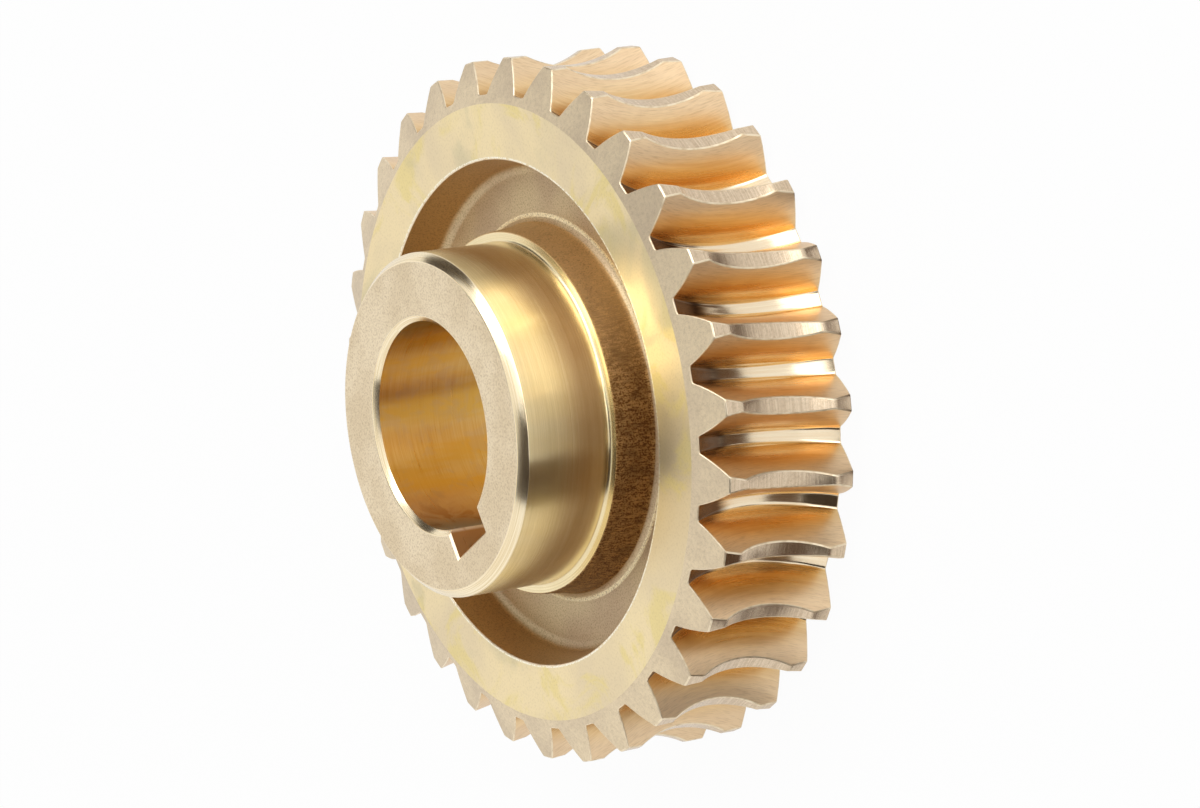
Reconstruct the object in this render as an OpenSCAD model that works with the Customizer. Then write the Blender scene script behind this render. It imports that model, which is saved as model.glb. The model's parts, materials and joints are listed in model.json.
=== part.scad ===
// Worm wheel, cast in one piece with a hub on one side, turned and hobbed.
// The axis is +Z, the plain rear face lies on z = 0 and the keyway points to +X.

/* [Teeth] */
// Axial module of the pair, in mm
module_size = 2; // [1.8:0.05:2.2]
// Number of teeth
tooth_count = 30; // [28:1:32]
// Number of starts of the worm that it runs with
worm_starts = 1; // [1:1:2]
// Hand of the thread, 1 right and -1 left
thread_hand = 1; // [-1:2:1]
// Pitch diameter of the worm
worm_pitch_d = 25; // [22:0.5:28]
// Distance between the worm's axis and the wheel's axis
centre_distance = 43.25; // [42.75:0.05:43.75]
// Flank angle of the worm thread, in degrees
flank_angle = 18; // [16:0.5:22]
// Thickness of the cutting thread on its pitch line
thread_t = 3; // [2.7:0.05:3.2]
// How far the cutting thread reaches below its pitch line
thread_depth = 2.4; // [2:0.05:2.6]
// Angle of the first tooth from the keyway, in degrees
tooth_turn = 3.5; // [0:0.5:12]

/* [Rim] */
// Outside diameter over the tooth lands
outside_d = 68; // [67:0.1:69]
// Width of the rim
rim_w = 16.4; // [14:0.1:18]
// Radius of the hollow that is turned round the tooth tips
throat_r = 10.55; // [10.2:0.05:10.9]
// Depth of that hollow below the tooth lands
throat_depth = 1.3; // [0.9:0.05:1.7]
// Diameter where the side bevels of the rim begin
bevel_d = 59.5; // [58:0.1:61]
// Slope of the side bevels, in degrees
bevel_angle = 17; // [5:1:25]

/* [Recess] */
// Diameter of the cast recess at the front face
recess_d = 48.8; // [46:0.1:52]
// Depth of the recess
recess_depth = 4.4; // [2:0.1:8]
// Draft of the recess's outer wall, in degrees
wall_draft = 12; // [2:1:15]
// Draft of the hub's cast foot, in degrees
foot_draft = 6; // [2:1:12]
// Radius of the two fillets on the recess's floor
floor_fillet = 1; // [0.5:0.1:1.5]

/* [Hub] */
// Diameter of the turned hub
hub_d = 33; // [30:0.1:34]
// Length over the hub, from the rear face
hub_length = 26.2; // [22:0.1:32]
// Chamfer of the hub's outer edge
hub_chamfer = 0.8; // [0.3:0.1:1.5]
// Diameter of the turned shoulder at the foot of the hub
shoulder_d = 35; // [34.4:0.1:37]
// Fillet between the hub and its shoulder
shoulder_fillet = 0.4; // [0.2:0.1:0.6]

/* [Bore] */
// Diameter of the bore
bore_d = 20; // [14:0.5:22]
// Chamfer of the bore at both ends
bore_chamfer = 0.5; // [0.2:0.1:1]
// Width of the keyway
keyway_w = 6; // [4:0.5:8]
// Depth of the keyway beyond the bore
keyway_depth = 2.5; // [1.5:0.1:3]

/* [Hidden] */
$fn = 180;
// Colour of the bronze
bronze = [0.82, 0.66, 0.42];
// How far the cutters reach past what they cut
over = 0.5;
// Number of sections along one tooth gap, and of points up each flank
section_count = 9;
point_count = 5;

rim_r = outside_d / 2;
mid_z = rim_w / 2;
throat_centre = rim_r - throat_depth + throat_r;
bevel_drop = (rim_r - bevel_d / 2) * tan(bevel_angle);
pitch_r = module_size * tooth_count / 2;
worm_r = worm_pitch_d / 2;
cutter_r = worm_r + thread_depth;
lead_per_radian = module_size * worm_starts / 2;
recess_floor = rim_w - recess_depth;
wall_foot_r = recess_d / 2 - recess_depth * tan(wall_draft);
hub_foot_r = shoulder_d / 2 + recess_depth * tan(foot_draft);

// Tooth gap. The worm's thread is followed section by section across the rim,
// and each point of it is carried to where it touches the turning wheel.

// Height of the thread above the wheel's axis, for a radius of the worm
function thread_y(r, z) = centre_distance - sqrt(r * r - z * z);
// Radius of the worm that reaches a height, and the radius that the cutter must reach past the blank
function worm_radius(y, z) = sqrt(pow(centre_distance - y, 2) + z * z);
function blank_r(z) =
    max(thread_y(cutter_r, z), min(rim_r, throat_centre - sqrt(max(0, throat_r * throat_r - z * z)))) + over;
// Height of the thread whose contact lies at a wheel radius, near enough
function contact_y(r, z) =
    let (c = 1 + (pow(centre_distance - r, 2) + z * z) / pow((centre_distance - r) * tan(flank_angle), 2))
    pitch_r + (sqrt(pitch_r * pitch_r + c * (r * r - pitch_r * pitch_r)) - pitch_r) / c;
// Point of the wheel, as radius and angle, that one side of the thread cuts
function cut_point(y, z, side) =
    let (
        r = worm_radius(y, z),
        x = side * (thread_t / 2 - (r - worm_r) * tan(flank_angle))
            - thread_hand * lead_per_radian * asin(z / r) * PI / 180,
        root = sqrt(r * r - z * z),
        dx = -side * tan(flank_angle) + thread_hand * lead_per_radian * z / (r * root),
        dy = -r / root,
        shift = -(y - pitch_r) * dy / dx - x
    ) [norm([x + shift, y]), atan2(y, x + shift) + shift / pitch_r * 180 / PI];
// Corner of the gap's floor on one side
function floor_point(z, side) =
    let (x = side * (thread_t / 2 - thread_depth * tan(flank_angle))
            - thread_hand * lead_per_radian * asin(z / cutter_r) * PI / 180)
    [thread_y(cutter_r, z), 90 - x / pitch_r * 180 / PI];
// One flank from the floor outwards; its last point is carried on past the blank
function flank(z, side) =
    let (
        y0 = thread_y(cutter_r, z), y1 = contact_y(blank_r(z), z), last = point_count - 1,
        points = [for (i = [0:last]) cut_point(y0 + (y1 - y0) * i / last, z, side)],
        slope = (points[last][1] - points[last - 1][1]) / (points[last][0] - points[last - 1][0])
    ) [for (i = [0:last]) i < last ? points[i]
        : [blank_r(z), points[last - 1][1] + slope * (blank_r(z) - points[last - 1][0])]];
// Outline of the gap; its first point keeps the straight lid outside the blank
function gap_outline(z) =
    let (left = flank(z, -1), right = flank(z, 1), last = point_count - 1, half = (left[last][1] - right[last][1]) / 2)
    concat([[blank_r(z) / cos(half), right[last][1] + half]], [for (i = [last:-1:0]) left[i]],
        [floor_point(z, -1), floor_point(z, 1)], right);

module gap_cutter() {
    count = 2 * point_count + 3;
    rows = section_count - 1;
    reach = rim_w / 2 + over;
    points = [for (s = [0:rows]) let (z = -reach + 2 * reach * s / rows)
        for (p = gap_outline(z)) [p[0] * cos(p[1] - 90), p[0] * sin(p[1] - 90), z]];
    sides = [for (s = [0:rows - 1]) for (i = [0:count - 1]) let (
        a = s * count + i, b = s * count + (i + 1) % count, c = a + count, d = b + count)
        each [[a, c, b], [b, c, d]]];
    low = concat([[0, 1, count - 1]],
        [for (i = [1:point_count]) let (j = count - i) each [[i, i + 1, j], [i + 1, j - 1, j]]]);
    top = rows * count;
    high = [for (t = low) [t[0] + top, t[2] + top, t[1] + top]];
    polyhedron(points, concat(sides, low, high));
}

module rim_section() {
    difference() {
        polygon([[0, 0], [bevel_d / 2, 0], [rim_r, bevel_drop], [rim_r, rim_w - bevel_drop],
            [bevel_d / 2, rim_w], [0, rim_w]]);
        translate([throat_centre, mid_z]) circle(throat_r);
    }
}

// Fillet in the corner between the floor and a drafted wall; out is 1 or -1,
// the way the corner opens
module corner_fillet(r, angle, radius, out) {
    // distance of the fillet's centre from the corner, along the floor
    along = radius * tan((90 - angle) / 2);
    centre = [r + out * along, recess_floor + radius];
    touch = [r - out * along * sin(angle), recess_floor + along * cos(angle)];
    corner = [[r - out * over, recess_floor - over], [centre[0], recess_floor - over],
        centre, touch, [touch[0] - out * over, touch[1]]];
    difference() {
        // the points always run anticlockwise
        polygon([for (i = [0:4]) corner[out > 0 ? i : 4 - i]]);
        translate(centre) circle(radius);
    }
}

module recess_section() {
    polygon([[hub_foot_r, recess_floor], [wall_foot_r, recess_floor],
        [recess_d / 2, rim_w], [recess_d / 2, rim_w + over], [shoulder_d / 2, rim_w + over], [shoulder_d / 2, rim_w]]);
}

module hub_section() {
    polygon([[0, mid_z], [hub_d / 2, mid_z], [hub_d / 2, hub_length - hub_chamfer],
        [hub_d / 2 - hub_chamfer, hub_length], [0, hub_length]]);
    difference() {
        translate([hub_d / 2 - over, rim_w - over]) square([shoulder_fillet + over, shoulder_fillet + over]);
        translate([hub_d / 2 + shoulder_fillet, rim_w + shoulder_fillet]) circle(shoulder_fillet);
    }
}

module bore_cutter() {
    translate([0, 0, -over]) cylinder(d = bore_d, h = hub_length + 2 * over);
    translate([0, 0, -over]) cylinder(r1 = bore_d / 2 + bore_chamfer + over, r2 = bore_d / 2, h = bore_chamfer + over);
    translate([0, 0, hub_length - bore_chamfer])
        cylinder(r1 = bore_d / 2, r2 = bore_d / 2 + bore_chamfer + over, h = bore_chamfer + over);
    translate([0, -keyway_w / 2, -over]) cube([bore_d / 2 + keyway_depth, keyway_w, hub_length + 2 * over]);
}

module worm_wheel() {
    color(bronze) difference() {
        rotate_extrude() union() {
            difference() {
                rim_section();
                recess_section();
            }
            corner_fillet(hub_foot_r, foot_draft, floor_fillet, 1);
            corner_fillet(wall_foot_r, wall_draft, floor_fillet, -1);
            hub_section();
        }
        bore_cutter();
        translate([0, 0, mid_z]) for (i = [0:tooth_count - 1])
            rotate([0, 0, tooth_turn + (i + 0.5) * 360 / tooth_count]) gap_cutter();
    }
}

worm_wheel();
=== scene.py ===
# %% [markdown]
# # A bronze worm wheel
# The real wheel starts as a casting. A lathe turns its hub, bore, rim and the
# hollow round its tips, a hob cuts the teeth, and a broach pulls the keyway
# through the bore. This scene follows the same order, because a mesh that is
# made as the metal was has its edges and its tool marks where the metal has them.

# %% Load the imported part
import json
import math
import bpy
import bmesh
from mathutils import Matrix, Vector

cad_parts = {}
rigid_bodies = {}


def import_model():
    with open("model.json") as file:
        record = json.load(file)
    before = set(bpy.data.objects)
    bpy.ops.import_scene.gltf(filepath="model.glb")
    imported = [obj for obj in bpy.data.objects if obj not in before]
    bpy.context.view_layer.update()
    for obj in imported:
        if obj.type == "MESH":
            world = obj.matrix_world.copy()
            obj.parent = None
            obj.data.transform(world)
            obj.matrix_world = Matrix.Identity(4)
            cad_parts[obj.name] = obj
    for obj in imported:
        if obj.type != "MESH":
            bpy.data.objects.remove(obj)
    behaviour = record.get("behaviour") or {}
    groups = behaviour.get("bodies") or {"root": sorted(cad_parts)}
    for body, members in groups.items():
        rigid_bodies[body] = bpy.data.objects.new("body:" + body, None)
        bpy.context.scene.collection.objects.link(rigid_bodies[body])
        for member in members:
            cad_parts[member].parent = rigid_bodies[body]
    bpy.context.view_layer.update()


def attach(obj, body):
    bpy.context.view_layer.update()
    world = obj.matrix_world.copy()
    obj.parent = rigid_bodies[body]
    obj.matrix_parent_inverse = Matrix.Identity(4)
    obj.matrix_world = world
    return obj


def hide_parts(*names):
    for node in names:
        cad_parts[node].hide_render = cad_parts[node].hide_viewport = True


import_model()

bpy.ops.object.select_all(action="DESELECT")

# %% [markdown]
# ## Sizes
# The lathe work is given in millimetres, as on a shop drawing, and the mesh is
# built in metres. One number turns one into the other.

# %% Sizes of the wheel
MM = 0.001
RIM_WIDTH, MIDDLE = 16.4, 8.2
OUTSIDE_R, BEVEL_R, BEVEL_SLOPE = 34.0, 29.75, math.tan(math.radians(17))
RECESS_R, RECESS_FLOOR = 24.4, 12.0
WALL_FOOT_R, HUB_FOOT_R = 23.465, 17.962
SHOULDER_R, HUB_R, HUB_TOP = 17.5, 16.5, 26.2
HUB_CHAMFER, BORE_CHAMFER = 0.8, 0.5
BORE_R, KEY_WIDTH, KEY_REACH = 10.0, 6.0, 12.5
SEAM_R = 27.0            # where the turned body meets the toothed ring
TURN_STEPS = 240
NEAR = 1e-3              # two places this close count as one
print("rim", RIM_WIDTH, "mm wide, hub top at", HUB_TOP, "mm")

# %% [markdown]
# ## The turned body
# A lathe part is a profile turned round an axis. The profile starts as a single
# point that is extruded from corner to corner. The corners are then rounded or
# cut while they are still flat, because that is one bevel each, and the whole
# line is spun at the end.

# %% Helpers for edit mode
def only(piece):
    """Select one object and nothing else."""
    if bpy.context.object and bpy.context.object.mode != "OBJECT":
        bpy.ops.object.mode_set(mode="OBJECT")
    bpy.ops.object.select_all(action="DESELECT")
    piece.select_set(True)
    bpy.context.view_layer.objects.active = piece


def pick(piece, kind, wanted):
    """In edit mode, select the vertices, edges or faces that wanted() accepts."""
    bpy.ops.mesh.select_mode(type=kind)
    bpy.ops.mesh.select_all(action="DESELECT")
    mesh = bmesh.from_edit_mesh(piece.data)
    items = {"VERT": mesh.verts, "EDGE": mesh.edges, "FACE": mesh.faces}[kind]
    chosen = [item for item in items if wanted(item)]
    for item in chosen:
        item.select_set(True)
    mesh.select_flush_mode()
    bmesh.update_edit_mesh(piece.data)
    return len(chosen)


def reach(vert):
    """Distance of a vertex from the wheel's axis, in millimetres."""
    return math.hypot(vert.co.x, vert.co.y) / MM


def close(first, second):
    return abs(first - second) < NEAR


def at_corner(vert, radius, height):
    """True for a vertex of the flat profile at a radius and a height."""
    return close(vert.co.x / MM, radius) and close(vert.co.z / MM, height)


# %% Draw the profile
PROFILE = [  # radius, height, size of the corner, segments of the corner
    (SEAM_R, RIM_WIDTH, 0, 0), (RECESS_R, RIM_WIDTH, 0.09, 2),
    (WALL_FOOT_R, RECESS_FLOOR, 0.85, 6), (HUB_FOOT_R, RECESS_FLOOR, 0.9, 6),
    (SHOULDER_R, RIM_WIDTH, 0.1, 2), (HUB_R, RIM_WIDTH, 0.4, 5),
    (HUB_R, HUB_TOP, HUB_CHAMFER, 1), (BORE_R, HUB_TOP, BORE_CHAMFER, 1),
    (BORE_R, 0, BORE_CHAMFER, 1), (SEAM_R, 0, 0, 0)]

bpy.ops.mesh.primitive_plane_add(size=1 * MM, location=(0, 0, 0))
wheel = bpy.context.object
wheel.name = "bronze_wheel"
bpy.ops.object.mode_set(mode="EDIT")
bpy.ops.mesh.merge(type="CENTER")
place = Vector((0, 0, 0))
for number, (radius, height, size, segments) in enumerate(PROFILE):
    corner = Vector((radius, 0, height)) * MM
    if number == 0:
        bpy.ops.transform.translate(value=corner - place)
    else:
        bpy.ops.mesh.extrude_region_move(TRANSFORM_OT_translate={"value": corner - place})
    place = corner

for radius, height, size, segments in PROFILE:
    if size:
        pick(wheel, "VERT", lambda v: at_corner(v, radius, height))
        bpy.ops.mesh.bevel(offset=size * MM, segments=segments, affect="VERTICES")
print("profile points:", len(bmesh.from_edit_mesh(wheel.data).verts))

# %% Break the two sharp edges of the hub's chamfer, and spin
HUB_EDGES = [(HUB_R, HUB_TOP - HUB_CHAMFER), (HUB_R - HUB_CHAMFER, HUB_TOP),
             (BORE_R + BORE_CHAMFER, HUB_TOP)]
HUB_EDGE_BREAK = 0.05
pick(wheel, "VERT", lambda v: any(at_corner(v, *edge) for edge in HUB_EDGES))
bpy.ops.mesh.bevel(offset=HUB_EDGE_BREAK * MM, segments=2, affect="VERTICES")
bpy.ops.mesh.select_all(action="SELECT")
bpy.ops.mesh.spin(steps=TURN_STEPS, angle=2 * math.pi, center=(0, 0, 0), axis=(0, 0, 1))
bpy.ops.mesh.select_all(action="SELECT")
bpy.ops.mesh.remove_doubles(threshold=0.0005 * MM)
bpy.ops.object.mode_set(mode="OBJECT")
print("turned body:", len(wheel.data.polygons), "faces")

# %% [markdown]
# ## The hobbed teeth
# A worm wheel's teeth can't be drawn by hand: each gap is the track of a worm
# thread that turns past the rim. A flat grid is laid over one pitch, and each
# of its vertices is moved to where the thread leaves the metal. Grid lines then
# run along the tooth and up the flank, as the hob's own marks do, and the
# corners of the tooth lie on grid lines, where they can be broken later.

# %% The worm's thread
PITCH_R, CENTRES, WORM_R, THREAD, DEPTH = 30.0, 43.25, 12.5, 3.0, 2.4
FLANK = math.tan(math.radians(18))
THROAT_R, CUTTER_R = 10.55, WORM_R + DEPTH
ROOT_CORNER, FOOT_LIFT = 0.3, 0.12   # the rounded corner between floor and flank
LEAD = 1.0               # millimetres of lead for each radian of the worm
TEETH, FIRST_TOOTH = 30, math.radians(3.5)


def cut(y, z, side):
    """Radius and angle on the wheel that one side of the thread cuts at height y."""
    r = math.hypot(CENTRES - y, z)
    root = math.sqrt(r * r - z * z)
    x = side * (THREAD / 2 - (r - WORM_R) * FLANK) - LEAD * math.asin(z / r)
    slope = (-r / root) / (-side * FLANK + LEAD * z / (r * root))
    shift = -(y - PITCH_R) * slope - x
    return math.hypot(x + shift, y), math.atan2(y, x + shift) + shift / PITCH_R - math.pi / 2


def floor_radius(z):
    return CENTRES - math.sqrt(CUTTER_R ** 2 - z * z)


def tip_radius(z):
    return min(OUTSIDE_R, CENTRES - math.sqrt(THROAT_R ** 2 - z * z))


def flank_angle(radius, z, side):
    """Angle of the flank from the middle of its gap, at a radius of the wheel."""
    low, high = floor_radius(z), radius
    for _ in range(36):
        middle = (low + high) / 2
        if cut(middle, z, side)[0] < radius:
            low = middle
        else:
            high = middle
    return cut((low + high) / 2, z, side)[1]


def half_width(radius):
    return MIDDLE - max(0.0, radius - BEVEL_R) * BEVEL_SLOPE


print("floor", round(floor_radius(0), 3), "throat", round(tip_radius(0), 3))

# %% One section of one tooth
ROOT_STEPS, CORNER_STEPS, FLANK_STEPS, LAND_STEPS = 2, 4, 11, 2
SIDE_STEPS = ROOT_STEPS + CORNER_STEPS + FLANK_STEPS + LAND_STEPS
PITCH = 2 * math.pi / TEETH


def section_point(step, side, z):
    """Point number step from the gap's middle to the tooth's middle, as radius
    and angle from the gap's middle. side is 1 clockwise and -1 anticlockwise."""
    floor, tip = floor_radius(z), tip_radius(z)
    middle = LEAD * math.asin(z / CUTTER_R) / PITCH_R
    corner = middle - side * (THREAD / 2 - DEPTH * FLANK) / PITCH_R
    start = corner + side * ROOT_CORNER / floor
    foot_r = cut(floor, z, side)[0] + FOOT_LIFT
    foot = flank_angle(foot_r, z, side)
    if step <= ROOT_STEPS:
        return floor, middle + (start - middle) * step / ROOT_STEPS
    step -= ROOT_STEPS
    if step <= CORNER_STEPS:
        t = step / CORNER_STEPS
        a, b, c = (1 - t) ** 2, 2 * t * (1 - t), t * t
        return (a + b) * floor + c * foot_r, a * start + b * corner + c * foot
    step -= CORNER_STEPS
    if step <= FLANK_STEPS:
        radius = foot_r + (tip - foot_r) * step / FLANK_STEPS
        return radius, flank_angle(radius, z, side)
    step -= FLANK_STEPS
    edge = flank_angle(tip, z, side)
    other = flank_angle(tip, z, -side) - side * PITCH
    return tip, edge + (other - edge) / 2 * step / LAND_STEPS


def ring_point(step, side, across):
    """The same at a share of the rim's width, from -1 at the rear to 1 at the front."""
    radius = BEVEL_R
    for _ in range(12):
        z = across * half_width(radius)
        radius, angle = section_point(step, side, z)
    return radius, angle, z


print("front tip corner:", [round(v, 3) for v in ring_point(SIDE_STEPS - LAND_STEPS, -1, 1.0)])

# %% Lay the grid over one pitch
ACROSS_LAND, ACROSS_THROAT, FACE_ROWS = 5, 30, 2
LAND_START = math.sqrt(THROAT_R ** 2 - (CENTRES - OUTSIDE_R) ** 2)
land_share = LAND_START / half_width(OUTSIDE_R)
rows = [-1 + (1 - land_share) * i / ACROSS_LAND for i in range(ACROSS_LAND)]
rows += [-land_share + 2 * land_share * i / ACROSS_THROAT for i in range(ACROSS_THROAT + 1)]
rows += [land_share + (1 - land_share) * i / ACROSS_LAND for i in range(1, ACROSS_LAND + 1)]
LINES = len(rows) + 2 * FACE_ROWS
COLUMNS = 2 * SIDE_STEPS + 1


def grid_point(column, line):
    """Place in millimetres of one grid vertex, for the tooth whose middle is at angle 0."""
    side = -1 if column <= SIDE_STEPS else 1
    step = column if side == -1 else 2 * SIDE_STEPS - column
    row = min(max(line - FACE_ROWS, 0), len(rows) - 1)
    radius, angle, z = ring_point(step, side, rows[row])
    inward = max(FACE_ROWS - line, line - FACE_ROWS - len(rows) + 1, 0) / FACE_ROWS
    if inward:
        even = section_point(0, side, z)[1] - side * PITCH / 2 * step / SIDE_STEPS
        radius, angle = radius + (BEVEL_R - radius) * inward, angle + (even - angle) * inward
        z = math.copysign(half_width(radius), z)
    angle += side * PITCH / 2
    return Vector((radius * math.cos(angle), radius * math.sin(angle), z + MIDDLE))


bpy.ops.mesh.primitive_grid_add(x_subdivisions=COLUMNS - 1, y_subdivisions=LINES - 1, size=10 * MM)
teeth = bpy.context.object
teeth.name = "teeth"
for vert in teeth.data.vertices:
    column, line = vert.index % COLUMNS, vert.index // COLUMNS
    vert.co = grid_point(column, line) * MM
print("one pitch:", len(teeth.data.polygons), "faces,", COLUMNS, "x", LINES, "lines")

# %% [markdown]
# ## From one pitch to the whole ring
# Thirty equal teeth are one tooth modelled once and copied round the axis. The
# lines that will be edges in the metal are marked sharp on the first tooth, so
# that every copy brings its marks along. The material numbers are set here too,
# while a face still knows its place in the grid.

# %% Number the finishes and mark the edges of the first tooth
FINISHES = ["turned_rim", "hub_end", "turned_hub", "broken_edge", "cast_skin",
            "hobbed_flank", "hobbed_root", "rim_bevel", "tip_land", "bore_wall",
            "rear_face", "turned_chamfer"]
NUMBER = {name: i for i, name in enumerate(FINISHES)}
for piece in (wheel, teeth):
    for name in FINISHES:
        piece.data.materials.append(bpy.data.materials.get(name) or bpy.data.materials.new(name))

TIP_COLUMNS = (SIDE_STEPS - LAND_STEPS, SIDE_STEPS + LAND_STEPS)
EDGE_LINES = (FACE_ROWS, LINES - 1 - FACE_ROWS)

for face in teeth.data.polygons:
    column = min(v % COLUMNS for v in face.vertices)
    line = min(v // COLUMNS for v in face.vertices)
    if line < EDGE_LINES[0] or line >= EDGE_LINES[1]:
        face.material_index = NUMBER["rim_bevel"]
    elif TIP_COLUMNS[0] <= column < TIP_COLUMNS[1]:
        face.material_index = NUMBER["tip_land"]
    elif min(column, 2 * SIDE_STEPS - 1 - column) < ROOT_STEPS + CORNER_STEPS - 1:
        face.material_index = NUMBER["hobbed_root"]
    else:
        face.material_index = NUMBER["hobbed_flank"]


def is_tooth_edge(edge):
    """True on the grid lines that are edges in the metal, round the sides and along the land."""
    lines = {v.index // COLUMNS for v in edge.verts}
    columns = {v.index % COLUMNS for v in edge.verts}
    across_rim = all(EDGE_LINES[0] <= line <= EDGE_LINES[1] for line in lines)
    if len(lines) == 1 and lines <= set(EDGE_LINES):
        return True
    return len(columns) == 1 and columns <= set(TIP_COLUMNS) and across_rim


only(teeth)
bpy.ops.object.mode_set(mode="EDIT")
marked = pick(teeth, "EDGE", is_tooth_edge)
bpy.ops.mesh.mark_sharp()
print("edges marked on one tooth:", marked)

# %% Copy the tooth round the axis
bpy.ops.mesh.select_all(action="SELECT")
bpy.ops.mesh.spin(steps=TEETH - 1, dupli=True, angle=2 * math.pi - PITCH,
                  center=(0, 0, 0), axis=(0, 0, 1))
bpy.ops.mesh.select_all(action="SELECT")
bpy.ops.mesh.remove_doubles(threshold=0.002 * MM)
bpy.ops.transform.rotate(value=-FIRST_TOOTH, orient_axis="Z", center_override=(0, 0, 0))
bpy.ops.object.mode_set(mode="OBJECT")
points = teeth.data.vertices
on_rim = [close(reach(point), BEVEL_R) for point in points]
rim_edges = sum(all(on_rim[i] for i in edge.vertices) for edge in teeth.data.edges)
print("ring of teeth:", len(points), "vertices,", rim_edges, "edges on its two open rims")

# %% Join ring and body
def is_open_at(edge, height):
    """True for an edge with a face on one side only, at a height of the wheel."""
    return edge.is_boundary and all(close(v.co.z / MM, height) for v in edge.verts)


only(teeth)
wheel.select_set(True)
bpy.context.view_layer.objects.active = wheel
bpy.ops.object.join()
bpy.ops.object.mode_set(mode="EDIT")
for height in (RIM_WIDTH, 0):
    pick(wheel, "EDGE", lambda e: is_open_at(e, height))
    bpy.ops.mesh.fill()
bpy.ops.mesh.select_all(action="SELECT")
bpy.ops.mesh.normals_make_consistent(inside=False)
shell = bmesh.from_edit_mesh(wheel.data)
print("open edges:", sum(e.is_boundary for e in shell.edges), "faces:", len(shell.faces),
      "volume:", round(shell.calc_volume() / MM ** 3), "cubic mm")

# %% [markdown]
# ## The keyway and the broken edges
# A broach pulls the keyway straight through the bore, so a straight cutter is
# taken away from the closed body. The cutter flares a little at each end, where
# a file has broken the edge of the real keyway. The teeth are bevelled on their
# marked edges: the hob leaves a burr there, and taking it off leaves a thin
# bright line that shows the shape of every tooth.

# %% Make the keyway's cutter
bpy.ops.object.mode_set(mode="OBJECT")
bpy.ops.object.select_all(action="DESELECT")
BROKEN = 0.2             # flare of the keyway's mouth
KEY_INNER = 5.0          # the cutter starts inside the empty bore
heights = [-1, 0, BROKEN, HUB_TOP - BROKEN, HUB_TOP, HUB_TOP + 1]
flare = [BROKEN + 1, BROKEN, 0, 0, BROKEN, BROKEN + 1]
key_middle = Vector(((KEY_REACH + KEY_INNER) / 2, 0, 0)) * MM


def key_size(extra):
    return KEY_REACH - KEY_INNER + 2 * extra, KEY_WIDTH + 2 * extra


bpy.ops.mesh.primitive_plane_add(size=1 * MM, location=key_middle + Vector((0, 0, heights[0] * MM)))
cutter = bpy.context.object
cutter.name = "keyway_cutter"
bpy.ops.object.mode_set(mode="EDIT")
bpy.ops.transform.resize(value=(*key_size(flare[0]), 1), center_override=key_middle)
for i in range(1, len(heights)):
    step = Vector((0, 0, heights[i] - heights[i - 1])) * MM
    growth = [new / old for new, old in zip(key_size(flare[i]), key_size(flare[i - 1]))]
    bpy.ops.mesh.extrude_region_move(TRANSFORM_OT_translate={"value": step})
    bpy.ops.transform.resize(value=(*growth, 1), center_override=key_middle)
bpy.ops.mesh.select_all(action="SELECT")
bpy.ops.mesh.normals_make_consistent(inside=False)
bpy.ops.object.mode_set(mode="OBJECT")
print("cutter:", [round(side / MM, 2) for side in cutter.dimensions], "mm")

# %% Cut the keyway
only(wheel)
cut_key = wheel.modifiers.new("keyway", "BOOLEAN")
cut_key.operation, cut_key.solver, cut_key.object = "DIFFERENCE", "EXACT", cutter
bpy.ops.object.modifier_apply(modifier=cut_key.name)
bpy.data.objects.remove(cutter)


def on_keyway(face):
    """True for a face of the keyway or of its flared mouth."""
    middle, past = face.center / MM, BROKEN + 0.01
    beside = BORE_R - 1 < middle.x < KEY_REACH + past and abs(middle.y) < KEY_WIDTH / 2 + past
    return beside and abs(face.normal.z) < 0.9


faces = wheel.data.polygons
print("faces of the keyway:", sum(map(on_keyway, faces)), "in", len(faces))

# %% Break the edges of the teeth
BURR = 0.11
bpy.ops.object.mode_set(mode="EDIT")
edges = pick(wheel, "EDGE", lambda e: not e.smooth)
bpy.ops.mesh.bevel(offset=BURR * MM, segments=2, affect="EDGES", material=NUMBER["broken_edge"])
bpy.ops.mesh.select_all(action="SELECT")
bpy.ops.mesh.mark_sharp(clear=True)
bpy.ops.object.mode_set(mode="OBJECT")
print("edges broken:", edges, "faces now:", len(wheel.data.polygons))

# %% [markdown]
# ## Which finish goes where
# Each tool has left its own surface on the casting, so the finish of a face
# follows from where it lies. The teeth took theirs from the grid. The turned body
# takes it from radius, height and slope. They are material slots on one mesh,
# because the wheel is one piece of metal and shouldn't be cut up for its colours.

# %% Give each turned surface its finish
def turned_finish(face):
    """Name of the finish of a face of the turned body, from where it lies."""
    middle = face.center / MM
    r, z, up = math.hypot(middle.x, middle.y), middle.z, face.normal.z
    if on_keyway(face):
        return "broken_edge" if abs(up) > 0.1 else "bore_wall"
    if r < BORE_R + 0.02:
        return "bore_wall"
    if z < BORE_CHAMFER + 0.1:
        return "rear_face" if up < -0.9 else "turned_chamfer"
    if z > HUB_TOP - HUB_CHAMFER - 0.1:
        return "hub_end" if up > 0.99 else "turned_chamfer"
    if r < SHOULDER_R - 0.12 and z > RIM_WIDTH - 0.02:
        return "turned_hub"
    if r < RECESS_R - 0.01:
        return "cast_skin"
    return "turned_rim" if up > 0.99 else "broken_edge"


for face in wheel.data.polygons:
    middle = face.center / MM
    flat = close(middle.z, 0) or close(middle.z, RIM_WIDTH)
    if math.hypot(middle.x, middle.y) < (BEVEL_R if flat else SEAM_R):
        face.material_index = NUMBER[turned_finish(face)]
for name, number in NUMBER.items():
    print(name, sum(face.material_index == number for face in wheel.data.polygons), "faces")

# %% Shade it as metal: flat faces stay flat, small corners roll
SMOOTH_BELOW, CREASE_ABOVE = math.radians(38), math.radians(8)


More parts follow.
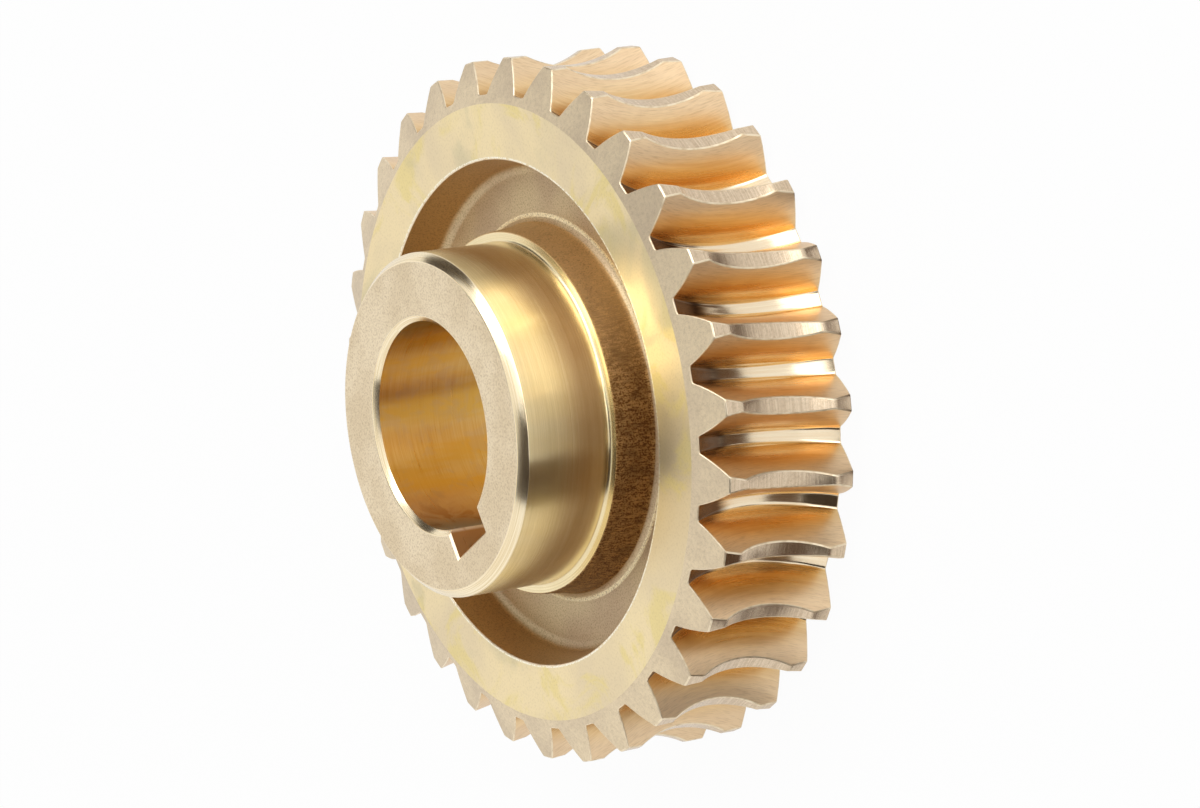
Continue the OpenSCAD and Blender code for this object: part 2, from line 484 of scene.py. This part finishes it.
def is_crease(edge):
    """True where the outside slope begins, and where two finishes meet at an angle."""
    on_slope_line = all(abs(reach(v) - BEVEL_R) < 10 * NEAR for v in edge.verts)
    finishes = {face.material_index for face in edge.link_faces}
    return on_slope_line or len(finishes) > 1 and edge.calc_face_angle(0) > CREASE_ABOVE


bpy.ops.object.shade_smooth_by_angle(angle=SMOOTH_BELOW)
bpy.ops.object.mode_set(mode="EDIT")
creases = pick(wheel, "EDGE", is_crease)
bpy.ops.mesh.mark_sharp()
bpy.ops.object.mode_set(mode="OBJECT")
even = wheel.modifiers.new("even_normals", "WEIGHTED_NORMAL")
even.keep_sharp = True
bpy.ops.object.modifier_apply(modifier=even.name)
print("creases:", creases)

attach(wheel, "root")
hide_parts("worm_wheel")

# %% [markdown]
# ## Writing a finish as sums
# A metal finish is mostly arithmetic on where a point lies: its distance from
# the axis, its angle, its height. Drawn by hand that is a wall of Math nodes,
# so a socket is wrapped in a small class, and ordinary Python sums add the nodes.

# %% Sums on sockets
class Wire:
    """A socket of a node, with Math nodes behind its operators."""

    def __init__(self, nodes, socket):
        self.nodes, self.socket = nodes, socket

    def math(self, operation, *values):
        return self.nodes.node("ShaderNodeMath", {"operation": operation}, dict(enumerate(values)))

    def __add__(self, other):
        return self.math("ADD", self, other)

    def __radd__(self, other):
        return self.math("ADD", other, self)

    def __sub__(self, other):
        return self.math("SUBTRACT", self, other)

    def __rsub__(self, other):
        return self.math("SUBTRACT", other, self)

    def __mul__(self, other):
        return self.math("MULTIPLY", self, other)

    def __rmul__(self, other):
        return self.math("MULTIPLY", other, self)

    def __truediv__(self, other):
        return self.math("DIVIDE", self, other)


class Nodes:
    """The node tree of a material or a world, and the one method that adds its nodes."""

    def __init__(self, owner):
        owner.use_nodes = True
        self.tree = owner.node_tree
        self.tree.nodes.clear()

    def node(self, kind, settings, sockets, output=0):
        """Add a node: settings first, then the values or wires of its sockets."""
        made = self.tree.nodes.new(kind)
        for key, value in settings.items():
            setattr(made, key, value)
        for key, value in sockets.items():
            if isinstance(value, Wire):
                self.tree.links.new(value.socket, made.inputs[key])
            else:
                made.inputs[key].default_value = value
        return made if output is None else Wire(self, made.outputs[output])

    def rays(self):
        """Wires that are 1 for the camera's rays, for mirrored rays and for rays through glass."""
        path = self.node("ShaderNodeLightPath", {}, {}, None)
        kinds = ("Is Camera Ray", "Is Glossy Ray", "Is Transmission Ray")
        return [Wire(self, path.outputs[kind]) for kind in kinds]


# %% What every finish is built from
MIX_SHARE, MIX_FIRST, MIX_SECOND, MIX_RESULT = 0, 6, 7, 2    # a Mix node's sockets for colours
VIEWPORT_BRONZE = (0.8, 0.62, 0.36, 1)                       # where nodes aren't drawn


class Finish(Nodes):
    """The nodes of one material, with the place of a point in millimetres and round the axis."""

    def __init__(self, name):
        self.material = bpy.data.materials[name]
        super().__init__(self.material)
        self.place = self.node("ShaderNodeTexCoord", {}, {}, "Object")
        split = self.node("ShaderNodeSeparateXYZ", {}, {0: self.place}, None)
        self.x, self.y, self.z = (Wire(self, split.outputs[i]) * 1000 for i in range(3))
        self.r = self.x.math("SQRT", self.x * self.x + self.y * self.y)
        self.turn = self.x.math("ARCTAN2", self.y, self.x)

    def vector(self, x, y, z):
        return self.node("ShaderNodeCombineXYZ", {}, {0: x, 1: y, 2: z})

    def noise(self, at, scale, detail=3.0, rough=0.55, warp=0.0):
        sockets = {"Vector": at, "Scale": scale, "Detail": detail,
                   "Roughness": rough, "Distortion": warp}
        return self.node("ShaderNodeTexNoise", {}, sockets, "Fac")

    def between(self, value, low, high):
        """0 at low, 1 at high and smooth in the middle; low may be the larger of the two."""
        sockets = {"Value": value, "From Min": low, "From Max": high, "To Min": 0.0, "To Max": 1.0}
        return self.node("ShaderNodeMapRange", {"interpolation_type": "SMOOTHSTEP"}, sockets)

    def mix(self, share, first, second):
        first, second = (end if isinstance(end, Wire) else (*end, 1) for end in (first, second))
        sockets = {MIX_SHARE: share, MIX_FIRST: first, MIX_SECOND: second}
        return self.node("ShaderNodeMix", {"data_type": "RGBA"}, sockets, MIX_RESULT)

    def bump(self, height, distance):
        sockets = {"Height": height, "Distance": distance, "Strength": 1.0}
        return self.node("ShaderNodeBump", {}, sockets)

    def done(self, colour, roughness, normal=None, metallic=1.0, rings=0.0):
        """Close the material. rings is how much more it scatters across its rings than along."""
        sockets = {"Base Color": colour, "Roughness": roughness, "Metallic": metallic}
        if rings:
            sockets.update({"Anisotropic": rings, "Anisotropic Rotation": 0.25})
        if normal:
            sockets["Normal"] = normal
        shader = self.node("ShaderNodeBsdfPrincipled", {}, sockets)
        self.node("ShaderNodeOutputMaterial", {}, {0: shader}, None)
        self.material.diffuse_color = VIEWPORT_BRONZE
        print(self.material.name, len(self.tree.nodes), "nodes")


def srgb(red, green, blue):
    """A colour as a screen shows it, turned into the values that light works with."""
    return tuple(round(((c / 255 + 0.055) / 1.055) ** 2.4, 4) for c in (red, green, blue))


# %% [markdown]
# ## Turned surfaces
# A turned face carries the feed of the tool: rings round the axis, a few
# hundredths of a millimetre apart. The rings come from noise that is read along
# the radius or the height only, and hardly at all round the axis. Under them,
# large soft patches of tarnish make the bronze warmer or greyer.

# %% The flat ring of the rim
f = Finish("turned_rim")
rings = f.noise(f.vector(f.r * 9, f.turn * 1.2, 0.0), 1.0, 4.0)
grain = f.noise(f.place, 4200.0, 2.0)
cloud = f.noise(f.place, 75.0, 3.0, 0.5, 0.4)
stain = f.between(f.noise(f.place, 130.0, 4.0, 0.6, 1.2), 0.5, 0.62)
grey = f.between(f.noise(f.place, 95.0, 3.0, 0.5, 0.8), 0.52, 0.66)
colour = f.mix(f.between(cloud, 0.38, 0.62), srgb(228, 209, 172), srgb(241, 221, 176))
colour = f.mix(stain * 0.6, colour, srgb(236, 217, 142))
colour = f.mix(grey * 0.6, colour, srgb(210, 200, 166))
colour = f.mix(f.between(grain, 0.45, 0.75) * 0.2, colour, srgb(180, 158, 118))
# painted highlight: near-white specks in a thin band along the edge of the recess
specks = f.between(f.noise(f.place, 5200.0, 1.0), 0.4, 0.5)
painted_edge_glint = f.between(f.r, RECESS_R + 0.3, RECESS_R + 0.18) * specks
colour = f.mix(painted_edge_glint, colour, srgb(255, 248, 228))
dull = 0.08 * rings + 0.12 * grey + 0.08 * stain
f.done(colour, 0.28 + dull, f.bump(rings + 0.7 * grain, 0.000004), rings=0.3)

# %% The hub's end
f = Finish("hub_end")
grain = f.noise(f.place, 5200.0, 3.0, 0.7)
cloud = f.noise(f.place, 130.0, 4.0)
rings = f.noise(f.vector(f.r * 6, f.turn, 0.0), 1.0, 3.0)
colour = f.mix(f.between(cloud, 0.38, 0.62), srgb(230, 212, 180), srgb(242, 226, 196))
colour = f.mix(f.between(grain, 0.44, 0.68) * 0.45, colour, srgb(174, 146, 110))
f.done(colour, 0.42 + 0.14 * grain, f.bump(grain + 0.3 * rings, 0.000012))

# %% The hub's outside and its shoulder
f = Finish("turned_hub")
rings = f.noise(f.vector(f.z * 11, f.r * 11, f.turn * 0.8), 1.0, 5.0, 0.65)
cloud = f.noise(f.vector(f.z * 0.25, f.turn * 2.5, 0.0), 1.0, 3.0)
colour = f.mix(f.between(rings, 0.3, 0.7), srgb(234, 214, 168), srgb(250, 235, 194))
colour = f.mix(f.between(cloud, 0.4, 0.7) * 0.4, colour, srgb(224, 202, 154))
f.done(colour, 0.2 + 0.08 * rings, f.bump(rings, 0.000005), rings=0.8)

# %% Chamfers of hub and bore, turned with a fresh tool
f = Finish("turned_chamfer")
rings = f.noise(f.vector(f.z * 9, f.r * 9, f.turn * 2), 1.0, 3.0)
colour = f.mix(f.between(rings, 0.35, 0.7), srgb(250, 234, 200), srgb(236, 214, 172))
f.done(colour, 0.16 + 0.1 * rings, f.bump(rings, 0.000003), rings=0.6)

# %% The broken edges
f = Finish("broken_edge")
grain = f.noise(f.place, 1200.0, 3.0, 0.6)
colour = f.mix(f.between(grain, 0.4, 0.75) * 0.7, srgb(244, 228, 198), srgb(196, 170, 132))
f.done(colour, 0.28 + 0.2 * grain, f.bump(grain, 0.000004))

# %% [markdown]
# ## The cast hollow
# The hollow between rim and hub is left as the mould made it: rough, matt and
# brown where the tool never went. The wall of the rim is smoother and browner,
# and the floor greyer. The foot of the hub is the darkest and the roughest, and is
# painted paler towards one side as painted light, with fewer pits there. A line of
# bright grains where it meets the floor is a painted highlight. One material does it all: each
# region is a mask of radius and height, and the masks mix the colours.
# region is a mask of radius and height, and the masks mix the colours.

# %% Cast skin
f = Finish("cast_skin")
grain = f.noise(f.place, 6000.0, 2.0, 0.7)
sand = f.noise(f.place, 3200.0, 4.0, 0.75)
drag = f.noise(f.vector(f.turn * 110, f.z * 1.1, f.r * 1.1), 1.0, 3.0, 0.7)
coarse = f.noise(f.place, 500.0, 4.0, 0.6)
cloud = f.noise(f.place, 110.0, 3.0)
above_floor = f.between(f.z + 0.1 * coarse, RECESS_FLOOR + 0.42, RECESS_FLOOR + 0.55)
foot = above_floor * f.between(f.r, 20.5, 20.0)
wall = f.between(f.r, 23.3, 23.7)
lip = f.between(f.r, 18.42, 18.52) * f.between(f.r, 18.9, 18.8)
# painted highlight: near-white grains along the lip, less metallic and smoother so the soft light
# makes them bright
bright = lip * f.between(f.noise(f.place, 6600.0, 1.0), 0.36, 0.46)
# painted light: the foot is painted paler towards 154 degrees round the axis, and has fewer pits
# there
painted_lit_side_fewer_pits = f.between(0.44 * f.y - 0.89 * f.x, 0.0, 15.0)   # towards 154 degrees round the axis
pits = f.between(coarse, 0.5, 0.62) * f.between(grain, 0.4, 0.55) * (0.5 - 0.35 * painted_lit_side_fewer_pits)

brown = f.mix(f.between(grain + 0.6 * drag, 0.74, 0.85), srgb(116, 80, 42), srgb(206, 164, 104))
# painted light on the paler side of the foot
brown = f.mix(painted_lit_side_fewer_pits * 0.8, brown, srgb(230, 196, 140))
brown = f.mix(pits, brown, srgb(104, 74, 40))
colour = f.mix(f.between(cloud, 0.35, 0.65), srgb(200, 176, 144), srgb(216, 196, 158))
colour = f.mix(wall, colour, srgb(202, 164, 110))
colour = f.mix(foot, colour, brown)
# the painted highlight of the lip
colour = f.mix(bright, colour, srgb(254, 236, 190))
colour = f.mix(f.between(grain, 0.48, 0.64) * 0.45, colour, srgb(132, 106, 72))
skin = f.bump(grain + 0.5 * sand + 0.5 * coarse, 0.000022)
f.done(colour, 0.42 + 0.2 * grain - 0.14 * wall - 0.22 * bright, skin, 0.95 - 0.6 * bright)

# %% [markdown]
# ## Teeth
# The hob leaves fine lines along each flank. They follow the tooth, whose floor
# is hollow and leans with the worm, so straight stripes would cross them. The
# noise is read in coordinates that are bent the same way. The root is the palest,
# because the hob's crest rubs it bright, and the mouth of each gap is painted
# dark brown as painted shade.
# The bevelled sides of the teeth are grey and grainy.

# %% Lines along the tooth
def along_tooth(f, across_lines, along_line):
    """Coordinates in which a line of the hob is straight."""
    level = f.z - MIDDLE
    depth = f.r - level * level / (2 * CUTTER_R)
    lean = f.turn - level * (LEAD / (CUTTER_R * PITCH_R))
    return f.vector(depth * across_lines, lean * (30 * across_lines), f.z * along_line)


# %% Hobbed flanks
f = Finish("hobbed_flank")
streak = f.noise(along_tooth(f, 2.6, 0.1), 1.0, 4.0, 0.6)
fine = f.noise(along_tooth(f, 12.0, 0.8), 1.0, 3.0)
cloud = f.noise(f.place, 190.0, 3.0)
tip = f.between(f.r, 30.2, 33.0)
colour = f.mix(f.between(streak, 0.35, 0.68), srgb(234, 194, 132), srgb(250, 216, 158))
colour = f.mix(f.between(cloud, 0.45, 0.72) * 0.4, colour, srgb(216, 170, 104))
colour = f.mix(tip * 0.65, colour, srgb(242, 218, 188))
colour = f.mix(tip * f.between(fine, 0.45, 0.7) * 0.35, colour, srgb(176, 146, 106))
# painted shade: the front mouth of each gap, low on the flank, painted dark brown
mouth = f.between(f.z + 1.5 * streak, 12.8, 15.4) * f.between(f.r, 31.6, 30.2)
colour = f.mix(mouth * 0.6, colour, srgb(150, 98, 54))
f.done(colour, 0.2 + 0.14 * streak + 0.1 * tip, f.bump(streak + 0.8 * fine, 0.000010))

# %% Roots of the teeth
f = Finish("hobbed_root")
streak = f.noise(along_tooth(f, 3.4, 0.1), 1.0, 4.0, 0.6)
colour = f.mix(f.between(streak, 0.35, 0.7), srgb(244, 222, 188), srgb(250, 234, 204))
# painted shade: the front mouth of each gap painted almost black-brown
mouth = f.between(f.z + 1.5 * streak, 11.9, 13.9)
colour = f.mix(mouth * 0.95, colour, srgb(90, 60, 36))
f.done(colour, 0.1 + 0.1 * streak, f.bump(streak, 0.000006))

# %% Sides of the teeth and the sloping edge of the rim
f = Finish("rim_bevel")
grain = f.noise(f.place, 2600.0, 8.0, 0.95)
cloud = f.noise(f.place, 140.0, 3.0)
colour = f.mix(f.between(cloud, 0.35, 0.65), srgb(216, 198, 170), srgb(232, 214, 182))
colour = f.mix(f.between(grain, 0.42, 0.66) * 0.4, colour, srgb(146, 126, 98))
f.done(colour, 0.34 + 0.2 * grain, f.bump(grain, 0.000010))

# %% Lands and throat of the teeth
f = Finish("tip_land")
rings = f.noise(f.vector(f.z * 7, f.r * 3, f.turn * 6), 1.0, 4.0)
grain = f.noise(f.place, 3600.0, 3.0)
colour = f.mix(f.between(rings, 0.35, 0.7), srgb(212, 190, 162), srgb(232, 212, 184))
colour = f.mix(f.between(grain, 0.45, 0.7) * 0.25, colour, srgb(160, 136, 104))
f.done(colour, 0.2 + 0.1 * rings, f.bump(rings + 0.4 * grain, 0.000007), rings=0.4)

# %% [markdown]
# ## Bore and rear face
# The bore is turned, so it has fine rings, and soft golden bands of painted
# reflection run along it. The side by the keyway is painted paler as painted
# light, and it has blotches of tarnish. The keyway's walls share the material
# and are browner, as a broach leaves them. The rear face is a plain turned face,
# because it only has to sit flat.

# %% Bore and keyway
f = Finish("bore_wall")
rings = f.noise(f.vector(f.z * 5, f.turn * 1.5, f.r), 1.0, 4.0)
# painted reflection: soft golden bands along the bore's axis
band = f.noise(f.vector(f.z * 0.05, f.turn * 3.5, 0.0), 1.0, 3.0, 0.5)
patch = f.noise(f.place, 420.0, 4.0, 0.6, 0.5)
# painted light: the side by the keyway is painted near white; it also gets more blotches of tarnish
# and more bump
key_side = f.between(f.x, 2.0, 6.5)
in_keyway = f.between(f.r, BORE_R + 0.1, BORE_R + 0.4)
colour = f.mix(f.between(rings, 0.3, 0.7), srgb(240, 202, 126), srgb(250, 220, 152))
# the painted reflection bands of the bore
colour = f.mix(f.between(band, 0.42, 0.58) * 0.7, colour, srgb(242, 196, 84))
# the painted light of the side by the keyway
colour = f.mix(key_side, colour, srgb(255, 246, 230))
colour = f.mix((0.3 + 0.5 * key_side) * f.between(patch, 0.48, 0.64), colour, srgb(222, 196, 164))
colour = f.mix(in_keyway, colour, srgb(206, 162, 112))
f.done(colour, 0.24 + 0.1 * rings, f.bump(rings + 1.5 * patch * key_side, 0.000006), rings=0.75)

# %% The rear face, turned plain
f = Finish("rear_face")
rings = f.noise(f.vector(f.r * 7, f.turn, 0.0), 1.0, 4.0)
cloud = f.noise(f.place, 80.0, 3.0)
colour = f.mix(f.between(cloud, 0.35, 0.65), srgb(226, 204, 164), srgb(236, 216, 174))
f.done(colour, 0.34 + 0.14 * rings, f.bump(rings, 0.000008), rings=0.5)

# %% [markdown]
# ## Camera, floor and light
# The camera has a long lens, far from the wheel, and it is rolled so that the
# wheel seems to stand on its rim. The wheel lies on a plain pale floor. Floor and
# world are white for the camera's rays and for mirrored rays only, so the wheel
# itself gets no more light than the lamps and a soft sky give it.

# %% Camera
LENS = 140.70            # millimetres
CAMERA_PLACE = (0.1408, 0.3574, 0.2492)
RIGHT = Vector((0.3313, 0.4368, -0.8364))    # the picture's directions on the wheel
UP = Vector((-0.8914, 0.4355, -0.1257))
BACK = Vector((0.3094, 0.7871, 0.5336))
camera_data = bpy.data.cameras.new("camera")
camera_data.lens, camera_data.sensor_width, camera_data.clip_end = LENS, 36.0, 20.0
camera = bpy.data.objects.new("camera", camera_data)
bpy.context.collection.objects.link(camera)
turn = Matrix((RIGHT, UP, BACK)).transposed().to_quaternion()
camera.matrix_world = Matrix.Translation(CAMERA_PLACE) @ turn.to_matrix().to_4x4()
bpy.context.scene.camera = camera
print("camera looks down by", round(math.degrees(math.asin(BACK.z)), 1), "degrees")

# %% Floor
SEEN_GLOW, MIRRORED_GLOW = 0.96, 0.7     # share of white light, straight and in a mirror
WHITE = (1, 1, 1, 1)
bpy.ops.object.select_all(action="DESELECT")
bpy.ops.mesh.primitive_plane_add(size=6.0, location=(0, 0, 0))
floor = bpy.context.object
floor.name = "floor"
paper = bpy.data.materials.new("white_paper")
floor.data.materials.append(paper)
sheet = Nodes(paper)
camera_ray, glossy_ray, clear_ray = sheet.rays()
glow_share = SEEN_GLOW * camera_ray + MIRRORED_GLOW * glossy_ray + MIRRORED_GLOW * clear_ray
pale = (0.8, 0.8, 0.8, 1)
matt = sheet.node("ShaderNodeBsdfPrincipled", {}, {"Base Color": pale, "Roughness": 0.8})
glow = sheet.node("ShaderNodeEmission", {}, {"Color": WHITE, "Strength": 1.0})
both = sheet.node("ShaderNodeMixShader", {}, {0: glow_share, 1: matt, 2: glow})
sheet.node("ShaderNodeOutputMaterial", {}, {0: both}, None)
print("floor", tuple(floor.dimensions))

# %% World
SKY_LIGHT = 0.8
world = bpy.data.worlds.new("studio")
bpy.context.scene.world = world
sky = Nodes(world)
camera_ray, glossy_ray, clear_ray = sky.rays()
seen = camera_ray.math("MAXIMUM", camera_ray, glossy_ray)
seen = seen.math("MAXIMUM", seen, clear_ray)
soft = sky.node("ShaderNodeBackground", {}, {"Color": WHITE, "Strength": SKY_LIGHT})
white = sky.node("ShaderNodeBackground", {}, {"Color": WHITE, "Strength": 1.0})
both = sky.node("ShaderNodeMixShader", {}, {0: seen, 1: soft, 2: white})
sky.node("ShaderNodeOutputWorld", {}, {0: both}, None)
print("world:", len(sky.tree.nodes), "nodes")

# %% Lamps
HEART = Vector((0, 0, 0.010))    # lamps and cards stand round this point of the wheel


def lamp(name, sideways, upward, toward, size, power):
    """A soft lamp placed as the picture shows it: right, up and towards the camera, in metres."""
    data = bpy.data.lights.new(name, "AREA")
    data.shape, data.size, data.energy = "SQUARE", size, power
    made = bpy.data.objects.new(name, data)
    bpy.context.collection.objects.link(made)
    made.location = HEART + RIGHT * sideways + UP * upward + BACK * toward
    made.rotation_euler = (made.location - HEART).to_track_quat("Z", "Y").to_euler()
    return name


LAMPS = [  # name, right, up, towards the camera, side in metres, power in watts
    ("key_lamp", -0.45, 0.55, 0.45, 0.45, 2.0), ("fill_lamp", 0.35, 0.15, 0.65, 0.50, 0.8),
    ("hub_lamp", -0.06, 0.38, 0.65, 0.60, 1.5)]
print("lamps:", [lamp(*row) for row in LAMPS])

# %% [markdown]
# ## Dark cards
# In an all-white studio polished metal looks flat. Dark cards round the wheel
# give the turned surfaces something to mirror: the short dark stretches on the
# chamfers and the band on the hub are such cards. Each is placed by its direction
# from the wheel and by the angle it covers, because that is what a mirror sees.
# They hide from the camera.

# %% Matt paper, and the cards cut from it
CARD_DISTANCE = 0.8


def matt_paper(name, colour):
    """A material of one matt colour, for what stands round the wheel."""
    made = bpy.data.materials.new(name)
    sheet = Nodes(made)
    sockets = {"Base Color": (*colour, 1), "Roughness": 0.9}
    shader = sheet.node("ShaderNodeBsdfPrincipled", {}, sockets)
    sheet.node("ShaderNodeOutputMaterial", {}, {0: shader}, None)
    return made


black = matt_paper("black_card", (0.045, 0.028, 0.015))


def card(name, azimuth, elevation, width, height):
    """A card that faces the wheel, from its direction and its size in degrees."""
    bpy.ops.object.select_all(action="DESELECT")
    bpy.ops.mesh.primitive_plane_add(size=1.0)
    made = bpy.context.object
    made.name = name
    a, e = math.radians(azimuth), math.radians(elevation)
    toward = Vector((math.cos(e) * math.cos(a), math.cos(e) * math.sin(a), math.sin(e)))
    sides = [2 * CARD_DISTANCE * math.tan(math.radians(angle / 2)) for angle in (width, height)]
    facing = toward.to_track_quat("Z", "Y").to_matrix().to_4x4() @ Matrix.Diagonal((*sides, 1, 1))
    made.data.transform(Matrix.Translation(HEART + toward * CARD_DISTANCE) @ facing)
    made.data.materials.append(black)
    made.visible_camera = False
    return name, [round(side, 2) for side in sides]


CARDS = [  # name, azimuth, elevation, width and height in degrees
    ("card_below_camera", 30, 54, 42, 26), ("card_low", 24, 29, 30, 60),
    ("card_above", 186, 21, 38, 26), ("card_behind", 221, 57, 26, 20),
    ("card_at_camera", 62, 34, 27, 18)]
for row in CARDS:
    print("card and its sides in metres:", *card(*row))

# %% [markdown]
# ## Painted shade under the rim
# The hollow flanks and the roots face the floor, close to the wheel, so a card
# far away can't reach what they mirror. Dark strips on the floor are painted shade:
# they stand for the floor in shade round the rim, as the metal mirrors it.
# They are cut so that the dark falls on the front part of roots and lands, and
# the rear corners of the teeth stay light between them. Camera, shadows and
# soft light skip them: only the metal sees them.

# %% Lay the strips of painted shade
STRIP_HEIGHT, STRIP_STEPS = 0.05, 24
# painted shade: dark brown sheets, seen only in the metal, for the floor in shade round the rim
brown_paper = matt_paper("brown_paper", (0.09, 0.045, 0.018))


def floor_shade_strip(name, start, stop, inner, outer):
    """A flat strip round the axis, from start to stop degrees, between two radii."""
    bpy.ops.object.select_all(action="DESELECT")
    bpy.ops.mesh.primitive_plane_add(size=1 * MM)
    made = bpy.context.object
    made.name = name
    outward = Vector((math.cos(math.radians(start)), math.sin(math.radians(start)), 0)) * MM
    bpy.ops.object.mode_set(mode="EDIT")
    bpy.ops.mesh.select_mode(type="VERT")
    bpy.ops.mesh.merge(type="CENTER")
    bpy.ops.transform.translate(value=outward * inner + Vector((0, 0, STRIP_HEIGHT * MM)))
    bpy.ops.mesh.extrude_region_move(TRANSFORM_OT_translate={"value": outward * (outer - inner)})
    bpy.ops.mesh.select_all(action="SELECT")
    bpy.ops.mesh.spin(steps=STRIP_STEPS, angle=math.radians(start - stop),
                      center=(0, 0, 0), axis=(0, 0, 1))
    bpy.ops.object.mode_set(mode="OBJECT")
    made.data.materials.append(brown_paper)
    made.visible_camera = made.visible_shadow = made.visible_diffuse = False
    return name, len(made.data.polygons)


SHADE_STRIPS = [  # name, start and stop in degrees, inner and outer radius in millimetres
    ("shade_near", 48, 96, 33.8, 35.1), ("shade_near_outer", 48, 96, 37.0, 38.7),
    ("shade_gap_1", 50.2, 60.8, 35.1, 37.0), ("shade_gap_2", 63.2, 73.8, 35.1, 37.0),
    ("shade_gap_3", 76.2, 86.0, 35.1, 37.0), ("shade_gap_4", 88.5, 96, 35.1, 37.0),
    ("shade_low", 8, 32, 36.8, 39.8), ("shade_far", 12, 40, 42, 200)]
for row in SHADE_STRIPS:
    print("mat and its faces:", *floor_shade_strip(*row))

# %% Finish
bpy.context.scene.view_settings.view_transform = "Standard"
